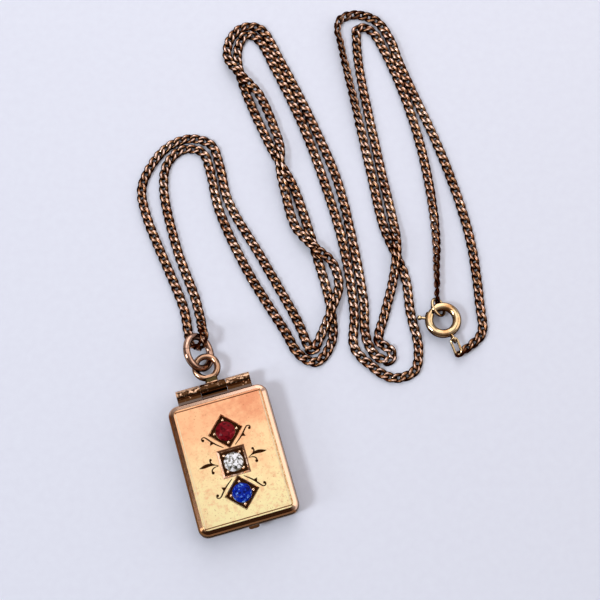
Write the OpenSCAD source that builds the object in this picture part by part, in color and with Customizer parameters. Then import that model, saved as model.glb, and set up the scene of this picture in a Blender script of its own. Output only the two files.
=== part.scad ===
/* [Locket] */
// Width of the closed locket, over its rim
locket_w = 19; // [16:0.5:24]
// Height of the closed locket, over its rim and without the hinge
locket_h = 25; // [21:0.5:32]
// Thickness of the back shell, from its flat back to the parting line
back_t = 2.6; // [2.4:0.1:3]
// Thickness of the cover, from the parting line to its face
cover_t = 2.35; // [2.2:0.05:2.6]
// Radius of the locket's corners, seen from above
corner_r = 1.8; // [1.2:0.1:3]
// Width of the rounded shoulder between the cover's side and its face
shoulder_w = 0.95; // [0.6:0.05:1.1]
// Thickness of the pressed sheet
sheet_t = 0.55; // [0.45:0.05:0.6]
// How far the engraved border line lies inside the locket's outline
border_in = 1.45; // [1.3:0.05:2]

/* [Settings and engraving] */
// Diameter of the round stones
stone_d = 3.6; // [2.8:0.1:3.8]
// Side of the white stone's square recess
white_side = 5; // [4.4:0.1:5.2]
// Side of the red and blue stones' lozenge recesses
lozenge_side = 4.4; // [4.2:0.1:4.6]
// Distance from the white stone to the red and to the blue one
stone_step = 5.85; // [5.7:0.05:6.2]
// Depth of the square recesses below the face
recess_d = 0.35; // [0.2:0.05:0.4]
// Depth of the engraved lines
engraving_d = 0.1; // [0.05:0.05:0.2]

/* [Hinge] */
// Length of the whole hinge barrel
barrel_len = 14.2; // [11:0.1:15]
// Diameter of the hinge barrel
barrel_d = 2.1; // [1.8:0.1:2.4]
// Distance from the locket's rim to the hinge axis
barrel_out = 1.8; // [1.6:0.1:2.2]
// Length of the middle knuckle, which carries the bail
mid_knuckle = 4.9; // [4:0.1:6]
// Diameter of the hinge pin
pin_d = 0.8; // [0.6:0.05:1]

/* [Rings] */
// Outer diameter of the bail ring
bail_od = 5.4; // [5:0.1:5.6]
// Wire diameter of the bail ring
bail_wire = 1.2; // [1:0.05:1.25]
// Outer diameter of the jump ring
jump_od = 7.6; // [7.4:0.05:7.7]
// Wire diameter of the jump ring
jump_wire = 1.35; // [1.2:0.05:1.4]
// Outer diameter of the spring ring
clasp_od = 7; // [6.8:0.1:7.2]
// Diameter of the spring ring's hollow tube
clasp_tube = 1.64; // [1.5:0.02:1.7]
// Wire diameter of the sliding bolt
bolt_wire = 1.1; // [0.9:0.05:1.15]
// Outer diameter of the thin end ring
end_od = 4; // [3.9:0.05:4.1]
// Wire diameter of the thin end ring
end_wire = 0.6; // [0.5:0.05:0.65]

/* [Chain] */
// Width of the flat curb chain
chain_w = 1.6; // [1.3:0.05:1.7]
// Thickness of the flat curb chain
chain_t = 0.9; // [0.7:0.05:0.9]

/* [Hidden] */

gold = "#d9a06a";
brass = "#8a7340";
yellow_gold = "#d8b06c";
bronze = "#6e4630";
fine = 64;
slip = 0.05;

// The locket lies on its back, turned a little to the left
locket_x = -14.3;
locket_y = -38.9;
locket_turn = 16;
// The three settings and their engraving are centred a little below the middle of the face
cluster_y = -0.55;

part_gap = 0.05;
face_z = back_t + part_gap + cover_t;
rim_step = 0.15;
rim_h = 0.35;
lip_t = 0.35;
lip_h = 0.5;
lip_gap = 0.1;
wall_in = rim_step + sheet_t;
face_t = 1;
body_w = locket_w - 2 * rim_step;
body_h = locket_h - 2 * rim_step;
hinge_y = locket_h / 2 + barrel_out;
hinge_z = back_t + part_gap / 2;
pin_bore = pin_d + 2 * slip;
knuckle_gap = 0.1;
leaf_t = 0.65;
bail_x = -0.3;
bail_y = 18.4;
bail_z = 2.4;

// Settings: name of the place, x, y, turn and side of the square recess
white_place = [0, 0, 0, white_side];
red_place = [0, stone_step, 45, lozenge_side];
blue_place = [0, -stone_step, 45, lozenge_side];
seat_z = face_z - recess_d - 0.75;
girdle_z = face_z - recess_d + 0.08;

// Spring ring: angles are counted from +X, anticlockwise seen from above
clasp_x = 25.3;
clasp_y = -11.9;
clasp_z = 1.56;
clasp_r = (clasp_od - clasp_tube) / 2;
gap_from = 131;
gap_to = 153;
lever_at = 174;
lever_travel = 30;
eye_at = -63;
eye_r = 0.84;
eye_wire = 0.4;
eye_out = 4.05;
link_at = -68;
link_wire = 0.5;
link_w = 1.72;
link_len = 3.75;
end_at = 108;
end_tilt = 46;

// Jump ring: its long axis is turned and its left side is lifted
jump_x = -21.1;
jump_y = -18.58;
jump_z = 3.15;
jump_turn = -80;
jump_tilt = 49.2;

// Least bend, in degrees, beside which a strand gets a halfway row
bend_limit = 27;

// Routes of the two strands: x, y, height of the centre, roll about the direction of travel.
// Both start where they meet, beside the jump ring.
left_route = [
    [-21.6, -9.6, 0.45, 180], [-21, -11.8, 0.7, 180], [-20.65, -13.7, 2.4, 170],
    [-20.15, -15.5, 3.85, 150], [-20.7, -17.3, 3.1, 128], [-22.2, -17.1, 1.5, 80], [-23.15, -15.1, 0.55, 18],
    [-24.3, -9.5, 0.45, 0], [-32.2, 9.7, 0.45, 0], [-33.2, 15, 0.45, 0],
    [-31.8, 19.3, 0.45, 0], [-28.5, 23.7, 0.45, 0], [-24, 25.6, 0.45, 0],
    [-19.7, 24.3, 0.45, 0], [-17.9, 19.8, 0.45, 0], [-16.2, 12.7, 0.45, 0],
    [-9.3, 0.5, 0.45, 0], [-2.6, -11.6, 0.45, 0], [0.3, -17.5, 0.45, 0],
    [2, -14.7, 0.6, 0], [3.1, -12.3, 1.4, 0], [4, -9.8, 1.7, 0], [5.5, -4.7, 0.5, 0],
    [4.2, -0.1, 0.6, 0], [0.8, 2.7, 1.75, 0], [-2.9, 7.1, 0.8, 0],
    [-5, 14.5, 1.1, 0], [-5.7, 17.5, 1.45, 0], [-6, 20.5, 1.65, 0], [-5.9, 23, 1.5, 0], [-6.9, 27, 0.9, 0],
    [-10.2, 34.9, 1.1, 0], [-12, 36.9, 1.5, 0], [-14, 39.1, 1.75, 0], [-16.7, 43.3, 0.7, 0],
    [-16, 47.7, 0.45, 0], [-13.2, 50.1, 0.45, 0], [-10, 49.5, 0.45, 0],
    [-6, 42.5, 0.45, 0], [0.2, 29.6, 0.45, 0], [5.3, 16.9, 0.45, 0],
    [7.6, 7.5, 0.45, 0], [10.2, -7.5, 0.45, 0], [10.7, -15.3, 0.45, 0],
    [12.6, -18.7, 0.45, 0], [15.2, -19.4, 0.45, 0], [15.3, -17.5, 0.45, 0],
    [13.1, -15.9, 0.45, 0], [14.4, -10, 0.45, 0], [15.9, -4.1, 0.9, 0],
    [16.7, 1.4, 1.7, 0], [16.7, 4.4, 1.5, 0], [16.2, 8.1, 0.9, 0], [14, 19, 0.45, 0],
    [9.6, 44.5, 0.45, 0], [10, 49.9, 0.45, 0], [12.3, 49.3, 0.45, 0],
    [16, 42.7, 0.45, 0], [21.4, 26.5, 0.45, 0], [24.3, 8.5, 0.7, 30],
    [24.7, -6.9, 0.85, 90]];
right_route = [
    [-21.6, -9.5, 0.45, 0], [-22.2, -7.3, 0.45, 0], [-26, 2.8, 0.45, 0],
    [-28.9, 15.5, 0.45, 0], [-28.2, 20.5, 0.45, 0], [-25.2, 23.3, 0.45, 0],
    [-21.4, 22.7, 0.45, 0], [-19.9, 19.1, 0.45, 0], [-17.9, 10.7, 0.45, 0],
    [-12.3, -1.6, 0.45, 0], [-5, -13.6, 0.45, 0], [-2, -18.5, 0.45, 0],
    [1.2, -19.8, 0.45, 0], [4, -16, 0.45, 0], [4, -9.8, 0.45, 0],
    [0.8, 2.7, 0.45, 0], [-3.4, 15.7, 0.45, 0], [-6, 20.5, 0.45, 0],
    [-8.6, 25.5, 0.45, 0], [-14, 39.1, 0.45, 0], [-14.4, 45.1, 0.45, 0], [-12.7, 48.1, 0.45, 0],
    [-10.6, 46.9, 0.45, 0], [-7.5, 40.8, 0.45, 0], [-1.5, 27.5, 0.45, 0],
    [3.3, 14.8, 0.45, 0], [6.4, 3.5, 0.45, 0], [8.4, -10, 0.45, 0],
    [8.4, -17, 0.45, 0], [11, -20.1, 0.45, 0], [15.5, -22.9, 0.45, 0],
    [19.6, -21.7, 0.45, 0], [20.6, -17.5, 0.45, 0], [19.2, -10, 0.45, 0],
    [18.4, -3.3, 0.45, 0], [16.7, 1.4, 0.45, 0], [14.4, 7.1, 0.45, 0],
    [11.9, 19, 0.45, 0], [6.6, 44.5, 0.45, 0], [5.8, 50.5, 0.45, 0],
    [8.6, 52.6, 0.45, 0], [13.4, 51.4, 0.45, 0], [16.6, 47.1, 0.45, 0],
    [20.9, 36.1, 0.45, 0], [26.5, 21.1, 0.45, 0], [31, 5.5, 0.45, 0],
    [32.6, -8.5, 0.45, 0], [32.7, -14.3, 0.45, 0], [29.1, -17.7, 0.5, 0]];

// Outline of a rounded rectangle, its corners as arcs of 16 steps
function rounded(w, h, r) = [
    for (corner = [[1, 1, 0], [-1, 1, 90], [-1, -1, 180], [1, -1, 270]])
    for (i = [0:16])
        let (a = corner[2] + i * 90 / 16)
        [corner[0] * (w / 2 - r) + r * cos(a), corner[1] * (h / 2 - r) + r * sin(a)]];

// Point at t on a Bezier curve, and its direction there
function between(p, t) = [for (i = [0:len(p) - 2]) p[i] + (p[i + 1] - p[i]) * t];
function bezier(p, t) = len(p) == 1 ? p[0] : bezier(between(p, t), t);
function unit(v) = v / norm(v);
function slope(p, t) = unit(bezier(p, min(t + 0.01, 1)) - bezier(p, max(t - 0.01, 0)));

// Outline of an engraved stroke along a Bezier curve, its width going from w1 through w2 to w3
function stroke(p, w1, w2, w3, steps = 14) =
    let (edge = function (side) [
        for (i = [0:steps])
            let (t = i / steps, d = slope(p, t), w = bezier([w1, w2, w3], t) / 2)
            bezier(p, t) + side * w * [-d[1], d[0]]],
        far = edge(1))
    concat(edge(-1), [for (i = [steps:-1:0]) far[i]]);

// Row halfway between b and c on the smooth curve through the rows a, b, c and d.
// The curve's own time between two rows is the square root of their distance.
// Height and roll are the two rows' mean, so that no strand dips into the surface.
function spot(row) = [row[0], row[1], row[2]];
function time(a, b) = sqrt(norm(spot(b) - spot(a)));
function mix(a, b, ta, tb, t) = ((tb - t) * a + (t - ta) * b) / (tb - ta);
function halfway(a, b, c, d) =
    let (t1 = time(a, b), t2 = t1 + time(b, c), t3 = t2 + time(c, d), t = (t1 + t2) / 2,
        ab = mix(a, b, 0, t1, t), bc = mix(b, c, t1, t2, t), cd = mix(c, d, t2, t3, t),
        at = mix(mix(ab, bc, 0, t2, t), mix(bc, cd, t1, t3, t), t1, t2, t))
    [at[0], at[1], (b[2] + c[2]) / 2, (b[3] + c[3]) / 2];

// The route with a halfway row added on each stretch beside a bend
function bend_at(route, i) =
    i <= 0 || i >= len(route) - 1 ? 0
    : acos(min(1, unit(spot(route[i]) - spot(route[i - 1])) * unit(spot(route[i + 1]) - spot(route[i]))));
function eased(route) = [
    for (i = [0:len(route) - 1])
        let (bend = max(bend_at(route, i), bend_at(route, i + 1)))
        each i > 0 && i < len(route) - 2 && bend > bend_limit
            && norm(spot(route[i + 1]) - spot(route[i])) > 2 * chain_w
            ? [route[i], halfway(route[i - 1], route[i], route[i + 1], route[i + 2])]
            : [route[i]]];

// Frame of a swept strand: direction of travel, side and upper side at ring i
function place(route, i) = spot(route[i]);
function step(route, i) = unit(place(route, i + 1) - place(route, i));
function heading(route, i) =
    i == 0 ? step(route, 0)
    : i == len(route) - 1 ? step(route, i - 1)
    : unit(step(route, i - 1) + step(route, i));
function rolled(route, i) =
    let (travel = heading(route, i),
        side = unit(cross([0, 0, 1], travel)),
        upper = cross(travel, side),
        roll = route[i][3])
    [side * cos(roll) + upper * sin(roll), upper * cos(roll) - side * sin(roll)];

module flat(w, h, r, z0, z1) {
    translate([0, 0, z0]) linear_extrude(z1 - z0) polygon(rounded(w, h, r));
}

module ring(od, wire, turn = 360, from = 0) {
    rotate([0, 0, from]) rotate_extrude(angle = turn, $fn = fine)
        translate([(od - wire) / 2, 0]) circle(d = wire, $fn = 24);
}

// Length of round bar along X, from x0 to x1
module bar(d, x0, x1) {
    translate([x0, 0, 0]) rotate([0, 90, 0]) cylinder(d = d, h = x1 - x0, $fn = 48);
}

module on_locket() {
    translate([locket_x, locket_y, 0]) rotate([0, 0, locket_turn]) children();
}

module at_hinge() {
    translate([0, hinge_y, hinge_z]) children();
}

module at_place(p) {
    translate([p[0], cluster_y + p[1], 0]) rotate([0, 0, p[2]]) children();
}

module at_clasp(a) {
    translate([clasp_x, clasp_y, clasp_z]) rotate([0, 0, a]) children();
}

// One knuckle of the hinge with the leaf that joins it to its shell
module knuckle(x0, x1, leaf_z0, leaf_z1) {
    at_hinge() bar(barrel_d, x0, x1);
    translate([x0, locket_h / 2 - sheet_t, leaf_z0])
        cube([x1 - x0, barrel_out + sheet_t, leaf_z1 - leaf_z0]);
}

module bail() {
    translate([bail_x, bail_y, bail_z]) ring(bail_od, bail_wire);
    translate([0, hinge_y + 2.5, bail_z]) rotate([90, 0, 0])
        linear_extrude(2.1) polygon(rounded(2.4, 1.1, 0.4));
}

module locket_back() {
    color(brass) on_locket() difference() {
        union() {
            difference() {
                union() {
                    hull() {
                        flat(body_w - 1, body_h - 1, corner_r - 0.5, 0, 0.1);
                        flat(body_w, body_h, corner_r, 0.5, 1);
                    }
                    flat(body_w, body_h, corner_r, 0.9, back_t - rim_h + 0.05);
                    flat(locket_w, locket_h, corner_r, back_t - rim_h, back_t);
                    flat(locket_w - 2 * (wall_in + lip_gap), locket_h - 2 * (wall_in + lip_gap),
                        1.2, back_t - 0.1, back_t + lip_h);
                }
                flat(locket_w - 2 * (wall_in + lip_gap + lip_t),
                    locket_h - 2 * (wall_in + lip_gap + lip_t), 0.9, sheet_t, face_z);
            }
            knuckle(-mid_knuckle / 2, mid_knuckle / 2, back_t - leaf_t, back_t);
            bail();
        }
        at_hinge() bar(pin_bore, -mid_knuckle, mid_knuckle);
    }
}

// Engraved border: a single line with short mitre marks at its corners
module border() {
    w = locket_w - 2 * border_in;
    h = locket_h - 2 * border_in;
    line = 0.2;
    difference() {
        square([w + line, h + line], center = true);
        square([w - line, h - line], center = true);
    }
    for (sx = [-1, 1], sy = [-1, 1])
        translate([sx * w / 2, sy * h / 2]) rotate([0, 0, sx * sy * 45])
            translate([sx * 0.3, 0]) square([0.6, 0.12], center = true);
}

// Tendril beside a lozenge, drawn for the upper right one
module tendril() {
    polygon(stroke([[1.1, 2.95], [1.9, 3.6], [3.1, 4.3], [3.5, 5.5], [4.1, 5.75]], 0.12, 0.42, 0.2));
    polygon(stroke([[3.9, 5.7], [4.5, 5.9], [4.75, 5.5], [4.5, 5.25]], 0.2, 0.2, 0.3));
    translate([4.42, 5.22]) circle(d = 0.52, $fn = 20);
    polygon([[2.55, 4.15], [3.4, 3.95], [3.15, 4.75]]);
}

// Fleur beside the white stone, drawn for the right one
module fleur() {
    polygon(stroke([[3.3, 0.2], [4.6, 0.95], [5.4, 0.35], [6.4, 0.4]], 0.06, 1.25, 0.04));
    polygon(stroke([[2.85, 0.05], [3.6, 0.35], [4.35, 0.75], [4.1, 1.35]], 0.1, 0.3, 0.25));
    translate([4, 1.4]) circle(d = 0.5, $fn = 20);
    polygon(stroke([[2.85, -0.05], [3.9, 0], [4.35, -0.4], [4.2, -0.95]], 0.1, 0.3, 0.25));
    translate([4.12, -1]) circle(d = 0.56, $fn = 20);
}

module engraving() {
    translate([0, 0, face_z - engraving_d]) linear_extrude(1) {
        border();
        translate([0, cluster_y]) {
            for (sx = [0, 1], sy = [0, 1])
                mirror([sx, 0]) mirror([0, sy]) tendril();
            for (sx = [0, 1])
                mirror([sx, 0]) fleur();
        }
    }
}

// Square recess with bright-cut sides that slope outwards to the face
module recess(p) {
    slope_w = 0.16;
    at_place(p) {
        translate([-p[3] / 2, -p[3] / 2, face_z - recess_d]) cube([p[3], p[3], 2]);
        translate([0, 0, face_z - 0.12]) rotate([0, 0, 45])
            cylinder(h = 0.24, d1 = p[3] * sqrt(2), d2 = (p[3] + 4 * slope_w) * sqrt(2), $fn = 4);
        translate([0, 0, seat_z]) cylinder(d = stone_d + 2 * slip, h = 2, $fn = 48);
    }
}

// Cup under the face that holds the stone, and the four grains raised over its edge
module cup(p) {
    at_place(p) translate([0, 0, seat_z - 0.3])
        cylinder(d = stone_d + 0.7, h = face_z - recess_d - 0.05 - seat_z + 0.3, $fn = 48);
}
module grains(p) {
    at_place(p) for (a = [45:90:315])
        rotate([0, 0, a]) translate([stone_d / 2 + 0.3, 0, face_z - recess_d])
            sphere(d = 0.55, $fn = 24);
}

// Small tab below the cover's rim, by which it is opened
module thumb_catch(z) {
    translate([0.5, -locket_h / 2 - 0.1, z]) linear_extrude(0.5) polygon(rounded(2, 0.9, 0.4));
}

module locket_cover() {
    z0 = back_t + part_gap;
    color(gold) on_locket() {
        difference() {
            union() {
                difference() {
                    union() {
                        flat(locket_w, locket_h, corner_r, z0, z0 + rim_h);
                        hull() {
                            flat(body_w, body_h, corner_r, z0 + 0.2, face_z - 0.95);
                            flat(body_w - 0.5, body_h - 0.5, corner_r - 0.2, face_z - 0.5, face_z - 0.45);
                            flat(body_w - 2 * shoulder_w, body_h - 2 * shoulder_w, corner_r - 0.9,
                                face_z - 0.05, face_z);
                        }
                    }
                    flat(locket_w - 2 * wall_in, locket_h - 2 * wall_in, 1.2, back_t - 1, face_z - face_t);
                }
                for (p = [white_place, red_place, blue_place]) cup(p);
                for (side = [0, 1])
                    mirror([side, 0, 0])
                        knuckle(-barrel_len / 2, -mid_knuckle / 2 - knuckle_gap, z0, z0 + leaf_t);
                thumb_catch(z0 + part_gap);
            }
            engraving();
            for (p = [white_place, red_place, blue_place]) recess(p);
            at_hinge() bar(pin_bore, -barrel_len, barrel_len);
        }
        for (p = [white_place, red_place, blue_place]) grains(p);
    }
}

module hinge_pin() {
    color(brass) on_locket() at_hinge() bar(pin_d, -barrel_len / 2 + 0.1, barrel_len / 2 - 0.1);
}

// Brilliant cut: table, crown with its star and kite facets, girdle and a shallow pavilion
module stone(p) {
    tilt = 360 / 16;
    on_locket() at_place(p) translate([0, 0, girdle_z]) hull() {
        translate([0, 0, 0.42]) rotate([0, 0, tilt]) cylinder(d = stone_d * 0.56, h = 0.01, $fn = 8);
        translate([0, 0, 0.24]) cylinder(d = stone_d * 0.82, h = 0.01, $fn = 8);
        cylinder(d = stone_d, h = 0.04, $fn = 16);
        translate([0, 0, -0.66]) cylinder(d = 0.5, h = 0.01, $fn = 8);
    }
}

module white_stone() {
    color("white") stone(white_place);
}

module red_stone() {
    color("#a00f2a") stone(red_place);
}

module blue_stone() {
    color("#1030c0") stone(blue_place);
}

// Round wire closed up to a hair's breadth, with the split at its raised side
module jump_ring() {
    split = 1.6;
    color(gold) translate([jump_x, jump_y, jump_z]) rotate([-jump_tilt, 0, jump_turn])
        ring(jump_od, jump_wire, 360 - split, -98 + split / 2);
}

// Hollow tube with an opening, a channel and a slot for the bolt, and a small eye
module spring_ring() {
    channel_d = bolt_wire + 2 * 0.07;
    color(yellow_gold) {
        difference() {
            at_clasp(0) ring(clasp_od, clasp_tube, 360 - gap_to + gap_from, gap_to);
            at_clasp(0) ring(2 * clasp_r + channel_d, channel_d, 120, gap_from - 6);
            at_clasp(lever_at - 7) rotate_extrude(angle = lever_travel + 14, $fn = fine)
                translate([clasp_r, -0.36]) square([2, 0.72]);
        }
        at_clasp(eye_at) translate([eye_out, 0, 0]) rotate([90, 0, 0])
            ring(2 * eye_r + eye_wire, eye_wire);
    }
}

// Curved bolt that closes the opening, with the thumb lever on its outside
module clasp_bolt() {
    color(yellow_gold) {
        at_clasp(0) ring(2 * clasp_r + bolt_wire, bolt_wire, 66, gap_from - 3);
        at_clasp(lever_at) {
            translate([clasp_r, 0, 0]) bar(0.56, 0, 1.75);
            translate([clasp_r + 1.8, 0, 0]) sphere(d = 0.95, $fn = 24);
        }
    }
}

// Long link between the spring ring's eye and the chain
module clasp_link() {
    r = (link_w - link_wire) / 2;
    span = link_len - link_w;
    color(yellow_gold) at_clasp(eye_at) translate([eye_out, 0, 0]) rotate([0, 0, link_at - eye_at])
        rotate([15, 13, 0]) translate([r, 0, 0]) {
            ring(link_w, link_wire, 180, 90);
            translate([span, 0, 0]) ring(link_w, link_wire, 180, -90);
            for (s = [-1, 1]) translate([0, s * r, 0]) bar(link_wire, 0, span);
        }
}

// Thin ring round the spring ring's tube, which holds the other end of the chain
module end_ring() {
    color(yellow_gold) at_clasp(end_at) translate([clasp_r, 0, 0]) rotate([end_tilt, 0, 0])
        ring(end_od, end_wire);
}

// Flat strand of chain: rings of eight corners joined along its route, closed at both ends
module strand(rows) {
    route = eased(rows);
    sides = 8;
    last = len(route) - 1;
    corners = [
        for (i = [0:last])
            let (across = rolled(route, i))
            for (k = [0:sides - 1])
                let (a = 22.5 + k * 45, stretch = 1 / cos(22.5))
                place(route, i) + across[0] * chain_w / 2 * stretch * cos(a)
                    + across[1] * chain_t / 2 * stretch * sin(a)];
    skin = [
        for (i = [0:last - 1])
            for (k = [0:sides - 1])
                let (a = i * sides + k, b = i * sides + (k + 1) % sides)
                for (face = [[a, a + sides, b], [b, a + sides, b + sides]]) face];
    polyhedron(corners, concat([[for (k = [0:sides - 1]) k]], skin,
        [[for (k = [sides - 1:-1:0]) last * sides + k]]));
}

module chain_left() {
    color(bronze) strand(left_route);
}

module chain_right() {
    color(bronze) strand(right_route);
}

locket_back();
locket_cover();
hinge_pin();
white_stone();
red_stone();
blue_stone();
jump_ring();
spring_ring();
clasp_bolt();
clasp_link();
end_ring();
chain_left();
chain_right();
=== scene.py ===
import math

import bmesh
import bpy
import numpy as np
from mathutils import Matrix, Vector


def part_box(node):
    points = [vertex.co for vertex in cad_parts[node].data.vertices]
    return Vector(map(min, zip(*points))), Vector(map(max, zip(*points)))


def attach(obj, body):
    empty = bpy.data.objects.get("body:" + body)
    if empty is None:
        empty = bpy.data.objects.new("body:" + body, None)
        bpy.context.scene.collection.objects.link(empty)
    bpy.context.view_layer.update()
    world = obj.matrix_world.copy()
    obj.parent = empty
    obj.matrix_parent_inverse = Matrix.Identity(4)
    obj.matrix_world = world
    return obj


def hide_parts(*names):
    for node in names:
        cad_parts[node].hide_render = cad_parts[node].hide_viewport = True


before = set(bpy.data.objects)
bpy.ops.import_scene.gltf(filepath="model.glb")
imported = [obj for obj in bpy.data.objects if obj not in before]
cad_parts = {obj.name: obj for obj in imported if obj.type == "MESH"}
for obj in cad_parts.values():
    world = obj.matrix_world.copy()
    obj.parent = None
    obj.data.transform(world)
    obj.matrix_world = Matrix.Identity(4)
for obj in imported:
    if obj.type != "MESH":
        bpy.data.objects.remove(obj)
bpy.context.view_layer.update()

scene = bpy.context.scene
scene.view_settings.view_transform = "Standard"  # the colours below are the ones to be seen
mm = 0.001
print("frame loaded:", len(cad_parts), "nodes")


def addObject(name, data):
    thing = bpy.data.objects.new(name, data)
    scene.collection.objects.link(thing)
    return thing


cameraView = {
    "target": (-2.0, -7.5, 0.0),  # mm, the middle of the picture
    "distance": 250.0,  # mm
    "elevation": 75.0,  # degrees above the table
    "lens": 77.72,  # mm
    "sensor": 36.0,  # mm wide
}


def makeCamera(view):
    data = bpy.data.cameras.new("camera")
    data.lens = view["lens"]
    data.sensor_width = view["sensor"]
    data.clip_start = 0.01  # metres
    eye = addObject("camera", data)
    rise = math.radians(view["elevation"])
    back = Vector((0, -math.cos(rise), math.sin(rise))) * view["distance"]
    eye.location = (Vector(view["target"]) + back) * mm
    eye.rotation_euler = (math.pi / 2 - rise, 0, 0)
    scene.camera = eye


makeCamera(cameraView)


def linear(hexColour):
    channels = [int(hexColour[i:i + 2], 16) / 255 for i in (1, 3, 5)]
    return [c / 12.92 if c <= 0.04045 else ((c + 0.055) / 1.055) ** 2.4 for c in channels] + [1]


def addNode(tree, kind, inputs={}, **settings):
    # an input is a number, a hex colour, or the node or socket it comes from;
    # a node given so stands for its first output in use
    node = tree.nodes.new(kind)
    for name, value in settings.items():
        setattr(node, name, value)
    for name, value in inputs.items():
        if isinstance(value, bpy.types.Node):
            value = next(output for output in value.outputs if output.enabled)
        if isinstance(value, bpy.types.NodeSocket):
            tree.links.new(value, node.inputs[name])
        elif isinstance(value, str) and value.startswith("#"):
            node.inputs[name].default_value = linear(value)
        else:
            node.inputs[name].default_value = value
    return node


def newMaterial(name):
    material = bpy.data.materials.new(name)
    material.use_nodes = True
    tree = material.node_tree
    return material, tree, tree.nodes["Principled BSDF"]


# mm on the locket's own axes, whose middle and turn come first
locketPlace = {
    "centre": (-14.3, -38.9), "turn": 16.0,  # mm in the shared frame, and degrees
    "faceZ": 5.0,  # the height of its flat face
    "faceX": 8.32, "faceY": 11.32,  # half the size of that face, up to where the shoulder starts
    "borderX": 7.85, "borderY": 10.85,  # from where the lines of the engraved border lie
    "sunk": (4.75, 0.2),  # the height of what is sunk into the face, and how much it varies
    "crease": (4.97, 0.016),  # the same of the crease where the shoulder starts
    "strip": (8.32, 0.18),  # the middle of the strip of painted reflection by the right shoulder, and half its width
    "hingeY": 12.95,  # from where the hinge begins
    "knuckleX": 2.45,  # from where its outer knuckles begin
    "bailY": 15.45,  # from where the bail begins
    "ringY": 16.3,  # from where the bail has its ring's finish and not its tab's
    "catchY": -12.52,  # below it lies the thumb catch
}
coverGold = {
    "cream": "#fef0b4", "peach": "#f9c08f", "rose": "#e3956c", "mottle": "#f0a87c", "speck": "#b06a40",
    # the shoulder's colour, and the painted shade at its foot and on its left
    "shoulder": "#ffd6b8", "foot": "#7e4629", "crease": "#8a5a38", "edge": "#a88a78", "wall": "#463f3b",
    "engraved": "#3c210f", "strip": "#c48c54",
    # the border's lines across, and the painted highlight on those along the sides
    "borderAcross": "#8a5432", "borderAlongHighlight": "#fff0cc",
    "flakeAndHighlight": "#ecc09a", "filmAndShade": "#4c301a", "bail": "#c79c7c", "tab": "#4d4026",
    "blotch": 6.0, "haze": 0.9, "grit": 0.3, "flakes": 0.45,  # mm, the size of each pattern
    "scratch": 0.14,  # mm, the scratches' width
    "upwards": 45.0, "rightwards": 42.0,  # per metre, how fast the face's painted reflection turns warm and then rosy
    "warm": (0.05, 0.85), "rosy": (1.15, 1.8), "rubbed": (8.9, 9.9),  # where each starts and is full
    "barrelY": 14.0, "barrelStep": 0.5,  # mm: each step beyond that y adds 1 to the barrel's wear and painted highlight
    "roughness": 0.24,
}
backGold = dict(coverGold, shoulder="#a87c62", wall="#5a4d46")


def locketSpots(tree, look):
    # where a point lies on the locket's own axes, how it faces there, and the patterns
    spot = addNode(tree, "ShaderNodeTexCoord")
    turn = (0, 0, math.radians(locketPlace["turn"]))
    place = addNode(tree, "ShaderNodeMapping", {
        "Vector": spot.outputs["Object"], "Rotation": turn,
        "Location": (*(v * mm for v in locketPlace["centre"]), 0)}, vector_type="TEXTURE")
    turned = addNode(tree, "ShaderNodeMapping", {"Vector": spot.outputs["Normal"], "Rotation": turn},
                     vector_type="TEXTURE")
    x, y, z = addNode(tree, "ShaderNodeSeparateXYZ", {0: place}).outputs
    slopeX, slopeY, facing = addNode(tree, "ShaderNodeSeparateXYZ", {0: turned}).outputs
    at = {"place": place, "x": x, "y": y, "z": z, "slopeX": slopeX, "slopeY": slopeY, "facing": facing}
    at["edgeX"] = addNode(tree, "ShaderNodeMath", {0: x}, operation="ABSOLUTE")
    at["edgeY"] = addNode(tree, "ShaderNodeMath", {0: y}, operation="ABSOLUTE")
    for pattern in ("blotch", "haze", "grit"):
        at[pattern] = addNode(tree, "ShaderNodeTexNoise", {
            "Vector": place, "Scale": 1 / (look[pattern] * mm), "Detail": 4.0, "Roughness": 0.6})
    lengthwise = addNode(tree, "ShaderNodeMapping", {"Vector": place, "Scale": (0.6, 1, 1)})
    at["flakes"] = addNode(tree, "ShaderNodeTexNoise", {
        "Vector": lengthwise, "Scale": 1 / (look["flakes"] * mm), "Detail": 4.0, "Roughness": 0.65})
    return at


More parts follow.
